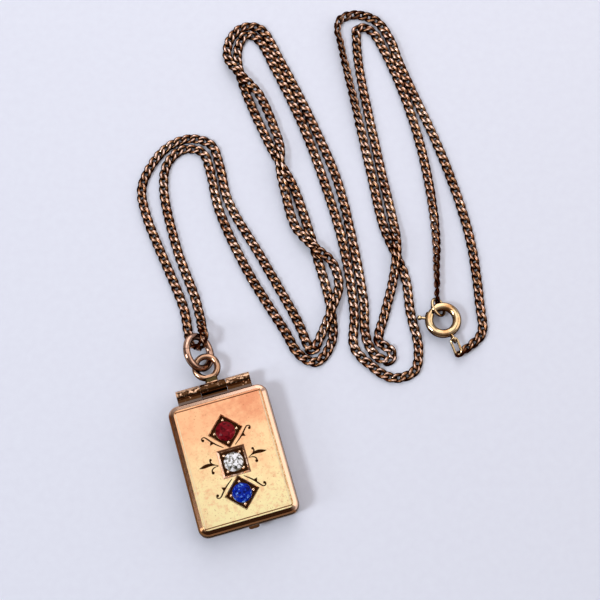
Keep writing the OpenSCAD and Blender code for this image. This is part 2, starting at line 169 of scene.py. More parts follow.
def locketParts(tree, at):
    # adds to the spots, as shares from 0 to 1, which part of the locket a point belongs to
    for name, axis, key, test in (
            ("inX", "edgeX", "faceX", "LESS_THAN"), ("inY", "edgeY", "faceY", "LESS_THAN"),
            ("along", "edgeX", "borderX", "GREATER_THAN"), ("across", "edgeY", "borderY", "GREATER_THAN"),
            ("outer", "edgeX", "knuckleX", "GREATER_THAN"), ("hinge", "y", "hingeY", "GREATER_THAN"),
            ("bail", "y", "bailY", "GREATER_THAN"), ("ring", "y", "ringY", "GREATER_THAN"),
            ("catch", "y", "catchY", "LESS_THAN")):
        at[name] = addNode(tree, "ShaderNodeMath", {0: at[axis], 1: locketPlace[key] * mm}, operation=test)
    for name, axis in (("sunk", "z"), ("crease", "z"), ("strip", "x")):
        middle, half = locketPlace[name]
        at[name] = addNode(tree, "ShaderNodeMath", {0: at[axis], 1: middle * mm, 2: half * mm},
                           operation="COMPARE")
    faceZ = locketPlace["faceZ"]
    at["level"] = addNode(tree, "ShaderNodeMapRange", {0: at["facing"], 1: 0.8, 2: 0.93})
    at["below"] = addNode(tree, "ShaderNodeMapRange", {
        0: at["z"], 1: (faceZ - 0.001) * mm, 2: (faceZ - 0.05) * mm, 4: 0.9})
    at["inside"] = addNode(tree, "ShaderNodeMath", {0: at["inX"], 1: at["inY"]}, operation="MULTIPLY")
    at["outside"] = addNode(tree, "ShaderNodeMath", {0: 1.0, 1: at["inside"]}, operation="SUBTRACT")
    at["floor"] = addNode(tree, "ShaderNodeMath", {0: at["sunk"], 1: at["level"]}, operation="MULTIPLY")
    for name, first, second in (("rim", "below", "outside"), ("dark", "floor", "inside"),
                                ("crease", "crease", "outside"), ("strip", "strip", "level")):
        at[name] = addNode(tree, "ShaderNodeMath", {0: at[first], 1: at[second]}, operation="MULTIPLY")


def faceLayers(tree, look, at):
    # a painted reflection: paler towards its foot, rosier towards its upper right corner; mottled and
    # specked
    up = addNode(tree, "ShaderNodeMath", {0: at["y"], 1: look["upwards"], 2: at["blotch"]},
                 operation="MULTIPLY_ADD")
    corner = addNode(tree, "ShaderNodeMath", {0: at["x"], 1: look["rightwards"], 2: up},
                     operation="MULTIPLY_ADD")
    corner = addNode(tree, "ShaderNodeMath", {0: at["haze"], 1: 0.7, 2: corner}, operation="MULTIPLY_ADD")
    warm, rosy = (addNode(tree, "ShaderNodeMapRange", {0: value, 1: look[name][0], 2: look[name][1]},
                          interpolation_type="SMOOTHSTEP")
                  for name, value in (("warm", up), ("rosy", corner)))
    mottle = addNode(tree, "ShaderNodeMapRange", {0: at["haze"], 1: 0.5, 2: 0.68, 4: 0.5})
    speck = addNode(tree, "ShaderNodeMapRange", {0: at["grit"], 1: 0.6, 2: 0.72, 4: 0.6})
    return (warm, look["peach"]), (rosy, look["rose"]), (mottle, look["mottle"]), (speck, look["speck"])


def wallLayers(tree, look, at):
    # painted shade: the shoulder is browner at the foot and on the left, and paler at the top and the
    # right
    foot = addNode(tree, "ShaderNodeMath", {0: at["slopeX"], 1: 0.8, 2: at["slopeY"]},
                   operation="MULTIPLY_ADD")
    foot = addNode(tree, "ShaderNodeMapRange", {0: foot, 1: -0.15, 2: -0.5},
                   interpolation_type="SMOOTHSTEP")
    shoulder = addNode(tree, "ShaderNodeMix", {0: foot, 6: look["shoulder"], 7: look["foot"]},
                       data_type="RGBA")
    # the walls darken below the face: a film of patina and painted shade, with a ragged upper edge
    faceZ = locketPlace["faceZ"]
    low = addNode(tree, "ShaderNodeMath", {0: at["haze"], 1: 1.4 * mm, 2: at["z"]},
                  operation="MULTIPLY_ADD")
    wall = addNode(tree, "ShaderNodeMapRange", {0: low, 1: faceZ * mm, 2: (faceZ - 0.8) * mm, 4: 0.92},
                   interpolation_type="SMOOTHSTEP")
    wall = addNode(tree, "ShaderNodeMath", {0: wall, 1: at["outside"]}, operation="MULTIPLY")
    return (at["rim"], shoulder), (at["crease"], look["crease"]), (wall, look["wall"])


def engravedLayers(tree, look, at):
    # dark patina on the floors of the engraving and of the settings; their bright-cut slopes have none
    # the border's lines along the sides are pale, a painted highlight; those across are brown
    line = addNode(tree, "ShaderNodeMix", {0: at["along"], 6: look["engraved"], 7: look["borderAlongHighlight"]},
                   data_type="RGBA")
    line = addNode(tree, "ShaderNodeMix", {0: at["across"], 6: line, 7: look["borderAcross"]},
                   data_type="RGBA")
    # a painted reflection: an orange-brown mottled strip between the border and the right shoulder
    strip = addNode(tree, "ShaderNodeMath", {0: at["strip"], 1: at["grit"]}, operation="MULTIPLY")
    strip = addNode(tree, "ShaderNodeMapRange", {0: strip, 1: 0.35, 2: 0.6})
    return (at["dark"], line), (strip, look["strip"])


def hingeLayers(tree, look, at):
    # a brown film with painted shade, rubbed off in flakes along the top of the barrel, where they carry a
    # painted highlight; the catch is painted all in the film's brown
    step = look["barrelStep"]
    rubbed = addNode(tree, "ShaderNodeMath", {0: at["y"], 1: 1 / (step * mm), 2: -look["barrelY"] / step},
                     operation="MULTIPLY_ADD")
    rubbed = addNode(tree, "ShaderNodeMath", {0: at["flakes"], 1: 14.0, 2: rubbed},
                     operation="MULTIPLY_ADD")
    rubbed = addNode(tree, "ShaderNodeMath", {0: at["outer"], 1: 1.2, 2: rubbed}, operation="MULTIPLY_ADD")
    rubbed = addNode(tree, "ShaderNodeMapRange", {0: rubbed, 1: look["rubbed"][0], 2: look["rubbed"][1]})
    barrel = addNode(tree, "ShaderNodeMix", {0: rubbed, 6: look["filmAndShade"], 7: look["flakeAndHighlight"]},
                     data_type="RGBA")
    # the bail: a painted highlight on top and the film's brown as painted shade on its flanks, and an
    # olive tab below its ring
    top = addNode(tree, "ShaderNodeMapRange", {0: at["facing"], 1: 0.45, 2: 0.9})
    bail = addNode(tree, "ShaderNodeMix", {0: at["ring"], 6: look["tab"], 7: look["bail"]},
                   data_type="RGBA")
    bail = addNode(tree, "ShaderNodeMix", {0: top, 6: look["filmAndShade"], 7: bail}, data_type="RGBA")
    return (at["hinge"], barrel), (at["catch"], look["filmAndShade"]), (at["bail"], bail)


def rolledGold(name, look):
    # rolled rose gold, burnished by wear; a painted reflection makes it cream towards the foot and rosy
    # towards the upper right, near the hinge; dark patina in the engraving, patina and painted shade on
    # the walls, flaking with painted highlight and shade on the hinge
    material, tree, shader = newMaterial(name)
    at = locketSpots(tree, look)
    locketParts(tree, at)
    colour = look["cream"]
    for layers in (faceLayers, wallLayers, engravedLayers, hingeLayers):
        for share, over in layers(tree, look, at):
            colour = addNode(tree, "ShaderNodeMix", {0: share, 6: colour, 7: over}, data_type="RGBA")
    tree.links.new(colour.outputs[2], shader.inputs["Base Color"])
    shader.inputs["Metallic"].default_value = 1.0
    shader.inputs["Specular Tint"].default_value = linear(look["edge"])  # browner towards its outline
    # dull in the patina, polished on the shoulder and the bail
    rough = addNode(tree, "ShaderNodeMath", {0: at["haze"], 1: 0.16, 2: look["roughness"]},
                    operation="MULTIPLY_ADD")
    rough = addNode(tree, "ShaderNodeMath", {0: at["dark"], 1: 0.3, 2: rough}, operation="MULTIPLY_ADD")
    smooth = addNode(tree, "ShaderNodeMath", {0: at["rim"], 1: at["bail"]}, operation="MAXIMUM")
    rough = addNode(tree, "ShaderNodeMath", {0: smooth, 1: -0.14, 2: rough}, operation="MULTIPLY_ADD")
    tree.links.new(rough.outputs[0], shader.inputs["Roughness"])
    # fine scratches and, on the hinge, dents
    lying = addNode(tree, "ShaderNodeMapping", {"Vector": at["place"], "Rotation": (0, 0, 0.5),
                                                "Scale": (1, 0.07, 1)})
    streak = addNode(tree, "ShaderNodeTexNoise", {
        "Vector": lying, "Scale": 1 / (look["scratch"] * mm), "Detail": 3.0})
    dents = addNode(tree, "ShaderNodeMath", {0: at["hinge"], 1: at["flakes"]}, operation="MULTIPLY")
    relief = addNode(tree, "ShaderNodeMath", {0: dents, 1: 4.0, 2: streak}, operation="MULTIPLY_ADD")
    bump = addNode(tree, "ShaderNodeBump", {"Strength": 0.2, "Distance": 0.012 * mm, "Height": relief})
    tree.links.new(bump.outputs[0], shader.inputs["Normal"])
    return material


# colours, the patches' size in mm, and between which upward slopes a wire turns to its flanks' painted
# shade
ringGold = {"light": "#e0b69c", "filmAndShade": "#8e6650", "flankShade": "#402212", "patch": 3.5, "roughness": 0.1,
            "flankFrom": 0.82, "flankTo": 0.25}
claspGold = {"light": "#fbdca8", "filmAndShade": "#cf9a62", "flankShade": "#4f2b16", "patch": 2.5, "roughness": 0.08,
             "flankFrom": 0.92, "flankTo": 0.35}
pinBrass = {"light": "#b98a5c", "filmAndShade": "#4a2f18", "flankShade": "#3a2412", "patch": 0.8, "roughness": 0.3,
            "flankFrom": 0.5, "flankTo": 0.1}
beadGold = {"light": "#ffe2bf", "filmAndShade": "#f2c193", "flankShade": "#7a4a28", "patch": 0.5, "roughness": 0.16,
            "flankFrom": 0.35, "flankTo": 0.0}
cutGold = {"light": "#ffd9bd", "filmAndShade": "#f0bd98", "flankShade": "#d09a78", "patch": 3.0, "roughness": 0.1,
           "flankFrom": 0.3, "flankTo": 0.0}


def wireGold(name, look):
    # drawn gold wire: bright where it is rubbed, with a thin film of brown in patches, and painted shade
    # on the flanks, which face sideways or down
    material, tree, shader = newMaterial(name)
    spot = addNode(tree, "ShaderNodeTexCoord")
    facing = addNode(tree, "ShaderNodeSeparateXYZ", {0: spot.outputs["Normal"]}).outputs[2]
    patch = addNode(tree, "ShaderNodeTexNoise", {
        "Vector": spot.outputs["Object"], "Scale": 1 / (look["patch"] * mm), "Detail": 3.0})
    grit = addNode(tree, "ShaderNodeTexNoise", {
        "Vector": spot.outputs["Object"], "Scale": 1 / (0.12 * mm), "Detail": 2.0})
    filmed = addNode(tree, "ShaderNodeMapRange", {0: patch, 1: 0.45, 2: 0.7},
                     interpolation_type="SMOOTHSTEP")
    colour = addNode(tree, "ShaderNodeMix", {0: filmed, 6: look["light"], 7: look["filmAndShade"]},
                     data_type="RGBA")
    # painted shade on the flanks, which face sideways or down
    side = addNode(tree, "ShaderNodeMapRange", {0: facing, 1: look["flankFrom"], 2: look["flankTo"]},
                   interpolation_type="SMOOTHSTEP")
    colour = addNode(tree, "ShaderNodeMix", {0: side, 6: colour, 7: look["flankShade"]}, data_type="RGBA")
    tree.links.new(colour.outputs[2], shader.inputs["Base Color"])
    shader.inputs["Metallic"].default_value = 1.0
    shader.inputs["Specular Tint"].default_value = linear(look["flankShade"])  # browner towards its outline
    rough = addNode(tree, "ShaderNodeMath", {0: grit, 1: 0.12, 2: look["roughness"]},
                    operation="MULTIPLY_ADD")
    tree.links.new(rough.outputs[0], shader.inputs["Roughness"])
    bump = addNode(tree, "ShaderNodeBump", {"Strength": 0.1, "Distance": 0.02 * mm, "Height": patch})
    tree.links.new(bump.outputs[0], shader.inputs["Normal"])
    return material


finishes = {
    "locket_cover": rolledGold("rolled_rose_gold_cover", coverGold),
    "locket_back": rolledGold("rolled_rose_gold_back", backGold),
    "hinge_pin": wireGold("brass_pin", pinBrass),
    "jump_ring": wireGold("rose_gold_ring", ringGold),
}
finishes.update(dict.fromkeys(("spring_ring", "clasp_bolt", "clasp_link", "end_ring"),
                              wireGold("yellow_gold_wire", claspGold)))
for nodeName, material in finishes.items():
    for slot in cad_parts[nodeName].material_slots:
        slot.material = material
print("metal finishes made")

chainLinks = {
    "pitch": 1.66,  # mm from link to link
    "halfLength": 1.18,  # mm, of the wire's centre line
    "halfWidth": 0.62,
    "rise": 0.25,  # mm, how far the wire twists up and down
    "wire": 0.71,  # mm wide
    "thickness": 0.46,  # mm, of the rolled wire
    "looseness": 5.0,  # degrees
    "steps": 14,  # round a link
    "sides": 6,  # round its wire
    "seed": 7,
    "spacing": 0.25,  # mm between the route's points
}
# x, y and height of the centre in mm, and roll in degrees; both strands start beside the jump ring
leftRoute = [
    (-21.6, -9.55, 0.45, 180), (-21, -11.8, 0.7, 180), (-20.65, -13.7, 2.4, 170),
    (-20.15, -15.5, 3.85, 150), (-20.7, -17.3, 3.1, 128), (-22.2, -17.1, 1.5, 80),
    (-23.15, -15.1, 0.55, 18), (-24.3, -9.5, 0.45, 0), (-32.2, 9.7, 0.45, 0), (-33.2, 15, 0.45, 0),
    (-31.8, 19.3, 0.45, 0), (-28.5, 23.7, 0.45, 0), (-24, 25.6, 0.45, 0),
    (-19.7, 24.3, 0.45, 0), (-17.9, 19.8, 0.45, 0), (-16.2, 12.7, 0.45, 0),
    (-9.3, 0.5, 0.45, 0), (-2.6, -11.6, 0.45, 0), (0.3, -17.5, 0.45, 0),
    (2, -14.7, 0.6, 0), (3.1, -12.3, 1.4, 0), (4, -9.8, 1.7, 0), (5.5, -4.7, 0.5, 0),
    (4.2, -0.1, 0.6, 0), (0.8, 2.7, 1.75, 0), (-2.9, 7.1, 0.8, 0),
    (-5, 14.5, 1.1, 0), (-5.7, 17.5, 1.45, 0), (-6, 20.5, 1.65, 0), (-5.9, 23, 1.5, 0),
    (-6.9, 27, 0.9, 0), (-10.2, 34.9, 1.1, 0), (-12, 36.9, 1.5, 0), (-14, 39.1, 1.75, 0),
    (-16.7, 43.3, 0.7, 0), (-16, 47.7, 0.45, 0), (-13.2, 50.1, 0.45, 0), (-10, 49.5, 0.45, 0),
    (-6, 42.5, 0.45, 0), (0.2, 29.6, 0.45, 0), (5.3, 16.9, 0.45, 0),
    (7.6, 7.5, 0.45, 0), (10.2, -7.5, 0.45, 0), (10.7, -15.3, 0.45, 0),
    (12.6, -18.7, 0.45, 0), (15.2, -19.4, 0.45, 0), (15.3, -17.5, 0.45, 0),
    (13.1, -15.9, 0.45, 0), (14.4, -10, 0.45, 0), (15.9, -4.1, 0.9, 0),
    (16.7, 1.4, 1.7, 0), (16.7, 4.4, 1.5, 0), (16.2, 8.1, 0.9, 0), (14, 19, 0.45, 0),
    (9.6, 44.5, 0.45, 0), (10, 49.9, 0.45, 0), (12.3, 49.3, 0.45, 0),
    (16, 42.7, 0.45, 0), (21.4, 26.5, 0.45, 0), (24.3, 8.5, 0.7, 30),
    (24.4, -7.2, 0.95, 90)]
rightRoute = [
    (-21.6, -9.55, 0.45, 0), (-22.2, -7.3, 0.45, 0), (-26, 2.8, 0.45, 0),
    (-28.9, 15.5, 0.45, 0), (-28.2, 20.5, 0.45, 0), (-25.2, 23.3, 0.45, 0),
    (-21.4, 22.7, 0.45, 0), (-19.9, 19.1, 0.45, 0), (-17.9, 10.7, 0.45, 0),
    (-12.3, -1.6, 0.45, 0), (-5, -13.6, 0.45, 0), (-2, -18.5, 0.45, 0),
    (1.2, -19.8, 0.45, 0), (4, -16, 0.45, 0), (4, -9.8, 0.45, 0),
    (0.8, 2.7, 0.45, 0), (-3.4, 15.7, 0.45, 0), (-6, 20.5, 0.45, 0),
    (-8.6, 25.5, 0.45, 0), (-14, 39.1, 0.45, 0), (-14.6, 45.2, 0.45, 0), (-12.8, 48.3, 0.45, 0),
    (-10.4, 47.1, 0.45, 0), (-7.15, 41, 0.45, 0), (-1.15, 27.7, 0.45, 0),
    (3.3, 14.8, 0.45, 0), (6.4, 3.5, 0.45, 0), (8.4, -10, 0.45, 0),
    (8.4, -17, 0.45, 0), (11, -20.1, 0.45, 0), (15.5, -22.9, 0.45, 0),
    (19.6, -21.7, 0.45, 0), (20.6, -17.5, 0.45, 0), (19.2, -10, 0.45, 0),
    (18.4, -3.3, 0.45, 0), (16.7, 1.4, 0.45, 0), (14.4, 7.1, 0.45, 0),
    (11.9, 19, 0.45, 0), (8.6, 35, 0.75, 30), (6.6, 44.5, 0.9, 45), (5.8, 50.8, 0.95, 50),
    (8.6, 52.5, 0.9, 45), (13.4, 51.4, 0.6, 15), (16.4, 46.9, 0.7, 15), (17.9, 42.3, 0.85, 20),
    (20.5, 36, 0.5, 0), (26.5, 21.1, 0.45, 0), (31, 5.5, 0.45, 0),
    (32.6, -8.5, 0.45, 0), (32.7, -14.3, 0.45, 0), (29.1, -17.7, 0.75, 40), (28.75, -18.03, 0.87, 55)]


def smoothRoute(rows, spacing):
    # a curve through the rows, whose time between two rows is the square root of their distance;
    # height and roll go evenly from row to row, so that no link dips into the table
    rows = np.array(rows, float)
    spots = np.vstack([2 * rows[0] - rows[1], rows, 2 * rows[-1] - rows[-2]])[:, :2]
    points = []
    for i in range(len(rows) - 1):
        a, b, c, d = spots[i:i + 4]
        t1, t2, t3 = np.cumsum([np.sqrt(np.linalg.norm(q - p)) for p, q in ((a, b), (b, c), (c, d))])
        steps = max(2, round(np.linalg.norm(c - b) / spacing))
        for part in np.arange(steps) / steps:
            t = t1 + part * (t2 - t1)
            ab = (t1 - t) / t1 * a + t / t1 * b
            bc = ((t2 - t) * b + (t - t1) * c) / (t2 - t1)
            cd = ((t3 - t) * c + (t - t2) * d) / (t3 - t2)
            abc = ((t2 - t) * ab + t * bc) / t2
            bcd = ((t3 - t) * bc + (t - t1) * cd) / (t3 - t1)
            spot = ((t2 - t) * abc + (t - t1) * bcd) / (t2 - t1)
            points.append([*spot, *(rows[i, 2:] * (1 - part) + rows[i + 1, 2:] * part)])
    points.append(rows[-1])
    return np.array(points)


def withoutStart(points, cut):
    # leaves off the first stretch of that length
    walked = np.concatenate([[0], np.cumsum(np.linalg.norm(np.diff(points[:, :3], axis=0), axis=1))])
    first = [np.interp(cut, walked, points[:, k]) for k in range(points.shape[1])]
    return np.vstack([first, points[walked > cut + 1e-6]])


def newTree(name, floats, integers):
    tree = bpy.data.node_groups.new(name, "GeometryNodeTree")
    kinds = {"Geometry": "Geometry", **dict.fromkeys(floats, "Float"), **dict.fromkeys(integers, "Int"),
             "Finish": "Material"}
    for title, kind in kinds.items():
        tree.interface.new_socket(title, in_out="INPUT", socket_type="NodeSocket" + kind)
    tree.interface.new_socket("Geometry", in_out="OUTPUT", socket_type="NodeSocketGeometry")
    return tree


def endTree(tree, instances, finish):
    whole = addNode(tree, "GeometryNodeRealizeInstances", {0: instances})
    whole = addNode(tree, "GeometryNodeSetShadeSmooth", {0: whole})
    whole = addNode(tree, "GeometryNodeSetMaterial", {0: whole, "Material": finish})
    addNode(tree, "NodeGroupOutput", {0: whole})


def oneLink(tree, given):
    # an oval whose wire rises and falls twice on its way round, of round wire that is then rolled flat
    circle = addNode(tree, "GeometryNodeCurvePrimitiveCircle",
                     {"Resolution": given["Steps"], "Radius": 1.0})
    spot = addNode(tree, "GeometryNodeInputPosition")
    x, y = addNode(tree, "ShaderNodeSeparateXYZ", {0: spot}).outputs[:2]
    flatness = addNode(tree, "ShaderNodeMath", {0: given["Thickness"], 1: given["Wire"]},
                       operation="DIVIDE")
    rise = addNode(tree, "ShaderNodeMath", {0: given["Rise"], 1: flatness}, operation="DIVIDE")
    twist = addNode(tree, "ShaderNodeMath", {0: x, 1: y}, operation="MULTIPLY")
    twist = addNode(tree, "ShaderNodeMath", {0: twist, 1: -2.0}, operation="MULTIPLY")
    shaped = addNode(tree, "ShaderNodeCombineXYZ", {
        0: addNode(tree, "ShaderNodeMath", {0: x, 1: given["Half length"]}, operation="MULTIPLY"),
        1: addNode(tree, "ShaderNodeMath", {0: y, 1: given["Half width"]}, operation="MULTIPLY"),
        2: addNode(tree, "ShaderNodeMath", {0: twist, 1: rise}, operation="MULTIPLY")})
    oval = addNode(tree, "GeometryNodeSetPosition", {"Geometry": circle, "Position": shaped})
    radius = addNode(tree, "ShaderNodeMath", {0: given["Wire"], 1: 0.5}, operation="MULTIPLY")
    profile = addNode(tree, "GeometryNodeCurvePrimitiveCircle",
                      {"Resolution": given["Sides"], "Radius": radius})
    link = addNode(tree, "GeometryNodeCurveToMesh", {0: oval, 1: profile})
    rolled = addNode(tree, "ShaderNodeCombineXYZ", {0: 1.0, 1: 1.0, 2: flatness})
    link = addNode(tree, "GeometryNodeTransform", {"Geometry": link, "Scale": rolled})
    # wear and painted sheen, from 0 to 1: how flat a point of the wire lies, and how near the link's upper
    # or lower face
    spot = addNode(tree, "GeometryNodeInputPosition")
    z = addNode(tree, "ShaderNodeSeparateXYZ", {0: spot}).outputs[2]
    height = addNode(tree, "ShaderNodeMath", {0: z}, operation="ABSOLUTE")
    top = addNode(tree, "ShaderNodeMath", {0: given["Thickness"], 1: 0.5, 2: given["Rise"]},
                  operation="MULTIPLY_ADD")
    height = addNode(tree, "ShaderNodeMath", {0: height, 1: top}, operation="DIVIDE")
    lie = addNode(tree, "ShaderNodeSeparateXYZ", {0: addNode(tree, "GeometryNodeInputNormal")}).outputs[2]
    lie = addNode(tree, "ShaderNodeMath", {0: lie}, operation="ABSOLUTE")
    lie = addNode(tree, "ShaderNodeMath", {0: lie, 1: 0.6}, operation="MULTIPLY")
    wearAndSheen = addNode(tree, "ShaderNodeMath", {0: height, 1: 0.4, 2: lie}, operation="MULTIPLY_ADD")
    return addNode(tree, "GeometryNodeStoreNamedAttribute",
                   {"Geometry": link, "Name": "wearAndSheen", "Value": wearAndSheen}, data_type="FLOAT", domain="POINT")


def curbChainTree():
    tree = newTree("curbChain",
                   ("Pitch", "Half length", "Half width", "Rise", "Wire", "Thickness", "Looseness"),
                   ("Steps", "Sides", "Seed"))
    given = addNode(tree, "NodeGroupInput").outputs
    # the route, with its roll, at even steps
    route = addNode(tree, "GeometryNodeMeshToCurve", {0: given["Geometry"]})
    route = addNode(tree, "GeometryNodeSetCurveNormal", {"Curve": route}, mode="Z_UP")
    roll = addNode(tree, "GeometryNodeInputNamedAttribute", {"Name": "roll"}, data_type="FLOAT")
    route = addNode(tree, "GeometryNodeSetCurveTilt", {"Curve": route, "Tilt": roll.outputs[0]})
    route = addNode(tree, "GeometryNodeResampleCurve", {"Curve": route, "Length": given["Pitch"]},
                    mode="LENGTH")
    link = oneLink(tree, given)
    # the links in their places, each a little askew and with its own shade
    turn = addNode(tree, "FunctionNodeAxesToRotation", {
        0: addNode(tree, "GeometryNodeInputTangent"), 1: addNode(tree, "GeometryNodeInputNormal")},
        primary_axis="X", secondary_axis="Y")
    links = addNode(tree, "GeometryNodeInstanceOnPoints",
                    {"Points": route, "Instance": link, "Rotation": turn})
    back = addNode(tree, "ShaderNodeMath", {0: given["Looseness"], 1: -1.0}, operation="MULTIPLY")
    askew = addNode(tree, "FunctionNodeRandomValue",
                    {0: back, 1: given["Looseness"], "Seed": given["Seed"]}, data_type="FLOAT_VECTOR")
    links = addNode(tree, "GeometryNodeRotateInstances",
                    {"Instances": links, "Rotation": askew, "Local Space": True})
    nextSeed = addNode(tree, "ShaderNodeMath", {0: given["Seed"], 1: 1.0}, operation="ADD")
    shade = addNode(tree, "FunctionNodeRandomValue", {"Seed": nextSeed}, data_type="FLOAT")
    links = addNode(tree, "GeometryNodeStoreNamedAttribute",
                    {"Geometry": links, "Name": "shade", "Value": shade},
                    data_type="FLOAT", domain="INSTANCE")
    endTree(tree, links, given["Finish"])
    return tree


def runTree(name, source, tree, values):
    # the tree's result on that mesh, as a plain mesh of its own
    carrier = addObject(name + "Source", source)
    modifier = carrier.modifiers.new(name, "NODES")
    modifier.node_group = tree
    identifiers = {item.name: item.identifier for item in tree.interface.items_tree
                   if item.in_out == "INPUT"}
    for title, value in values.items():
        modifier[identifiers[title]] = value
    graph = bpy.context.evaluated_depsgraph_get()
    piece = addObject(name, bpy.data.meshes.new_from_object(carrier.evaluated_get(graph)))
    bpy.data.objects.remove(carrier)
    return piece


chainLook = {
    # the crests' painted highlight, and the hollows' patina with painted shade on the flanks
    "crestHighlight": "#f0d0be", "high": "#a67852", "highRed": "#8a583a", "old": "#84643a", "hollow": "#2a0c03",
    "edge": "#6e4430",
    "rubbed": (0.74, 1.0), "gleaming": (0.98, 1.12),  # the wear and painted sheen from which each starts and is full
    "patch": 7.0, "grit": 0.2,  # mm, the size of each pattern
    "roughness": 0.14,
}


def rolledWire(look):
    # rolled rose gold wire: each link's faces rubbed to a copper gleam with a painted highlight on the
    # crests; brown patina and painted shade in the hollows and on the flanks
    material, tree, shader = newMaterial("rolled_rose_gold_wire")
    spot = addNode(tree, "ShaderNodeTexCoord").outputs["Object"]
    wornAndSheen = addNode(tree, "ShaderNodeAttribute", attribute_name="wearAndSheen").outputs["Fac"]
    shade = addNode(tree, "ShaderNodeAttribute", attribute_name="shade").outputs["Fac"]
    patch = addNode(tree, "ShaderNodeTexNoise", {
        "Vector": spot, "Scale": 1 / (look["patch"] * mm), "Detail": 3.0})
    wornAndSheen = addNode(tree, "ShaderNodeMath", {0: patch, 1: 0.35, 2: wornAndSheen}, operation="MULTIPLY_ADD")
    high = addNode(tree, "ShaderNodeMapRange", {0: wornAndSheen, 1: look["rubbed"][0], 2: look["rubbed"][1]},
                   interpolation_type="SMOOTHSTEP")
    gleam = addNode(tree, "ShaderNodeMix", {0: shade, 6: look["high"], 7: look["highRed"]},
                    data_type="RGBA")
    old = addNode(tree, "ShaderNodeMapRange", {0: patch, 1: 0.52, 2: 0.72, 4: 0.6})
    gleam = addNode(tree, "ShaderNodeMix", {0: old, 6: gleam, 7: look["old"]}, data_type="RGBA")
    colour = addNode(tree, "ShaderNodeMix", {0: high, 6: look["hollow"], 7: gleam}, data_type="RGBA")
    # a painted highlight on the crests
    crestHighlight = addNode(tree, "ShaderNodeMapRange", {0: wornAndSheen, 1: look["gleaming"][0], 2: look["gleaming"][1]},
                    interpolation_type="SMOOTHSTEP")
    colour = addNode(tree, "ShaderNodeMix", {0: crestHighlight, 6: colour, 7: look["crestHighlight"]}, data_type="RGBA")
    tree.links.new(colour.outputs[2], shader.inputs["Base Color"])
    shader.inputs["Metallic"].default_value = 1.0
    shader.inputs["Specular Tint"].default_value = linear(look["edge"])  # browner towards its outline
    grit = addNode(tree, "ShaderNodeTexNoise", {
        "Vector": spot, "Scale": 1 / (look["grit"] * mm), "Detail": 2.0})
    rough = addNode(tree, "ShaderNodeMath", {0: grit, 1: 0.2, 2: look["roughness"]},
                    operation="MULTIPLY_ADD")
    tree.links.new(rough.outputs[0], shader.inputs["Roughness"])
    return material


def chainSource(sizes):
    points, edges, rolls = [], [], []
    for rows in (leftRoute, rightRoute):
        route = withoutStart(smoothRoute(rows, sizes["spacing"]), sizes["pitch"] / 2)
        start = len(points)
        points += [tuple(p[:3] * mm) for p in route]
        rolls += [math.radians(p[3]) for p in route]
        edges += [(i, i + 1) for i in range(start, len(points) - 1)]
    mesh = bpy.data.meshes.new("chainRoute")
    mesh.from_pydata(points, edges, [])
    mesh.attributes.new("roll", "FLOAT", "POINT").data.foreach_set("value", rolls)
    return mesh


chain = runTree("curb_chain", chainSource(chainLinks), curbChainTree(), {
    "Pitch": chainLinks["pitch"] * mm, "Half length": chainLinks["halfLength"] * mm,
    "Half width": chainLinks["halfWidth"] * mm, "Rise": chainLinks["rise"] * mm,
    "Wire": chainLinks["wire"] * mm, "Thickness": chainLinks["thickness"] * mm,
    "Looseness": math.radians(chainLinks["looseness"]), "Steps": chainLinks["steps"],
    "Sides": chainLinks["sides"], "Seed": chainLinks["seed"], "Finish": rolledWire(chainLook)})
print("chain made:", len(chain.data.polygons) // (chainLinks["steps"] * chainLinks["sides"]), "links")
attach(chain, "necklace")
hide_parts("chain_left", "chain_right")

stoneCut = {
    "radius": 1.8,  # mm, at the girdle
    "girdleZ": 4.73, "girdleHeight": 0.05,
    "table": 0.56, "star": 0.79, "starHeight": 0.5,  # shares of the radius and of the crown's height
    "spacing": 5.85,  # mm from stone to stone
    "clusterY": -0.55,  # mm on the locket's own axes, the middle stone
    "mosaic": 0.3,  # the share of the radius where the facets under the table meet
    "belt": 0.45,  # the share where the pavilion's facets break
    "seed": 5,
}
# the deep, middle and bright shade, the flash from which a facet shows a painted glint, and the surface's
# gloss
stoneLooks = {
    "red": {"shades": ("#4e0810", "#7a0f1a", "#9e2832"), "glint": 0.84, "gloss": 0.04},
    "white": {"shades": ("#2b2a22", "#8f8b80", "#ffffff"), "glint": 0.63, "gloss": 0.3},
    "blue": {"shades": ("#07125e", "#0d2aa2", "#7ab0ff"), "glint": 0.84, "gloss": 0.04},
}
# from the foot up: the turn in degrees, the recess's side and the width of its slope in mm
stoneSettings = (
    {"stone": "blue", "turn": 45.0, "side": 4.4, "slope": 0.12},
    {"stone": "white", "turn": 0.0, "side": 5.0, "slope": 0.3},
    {"stone": "red", "turn": 45.0, "side": 4.4, "slope": 0.12},
)


def settingY(step):
    return stoneCut["clusterY"] + (step - 1) * stoneCut["spacing"]


def closedMesh(shape, name):
    bmesh.ops.recalc_face_normals(shape, faces=shape.faces)
    mesh = bpy.data.meshes.new(name)
    shape.to_mesh(mesh)
    shape.free()
    return mesh


def locketPoint(x, y, z):
    turn = math.radians(locketPlace["turn"])
    cx, cy = locketPlace["centre"]
    return Vector((cx + x * math.cos(turn) - y * math.sin(turn),
                   cy + x * math.sin(turn) + y * math.cos(turn), z)) * mm


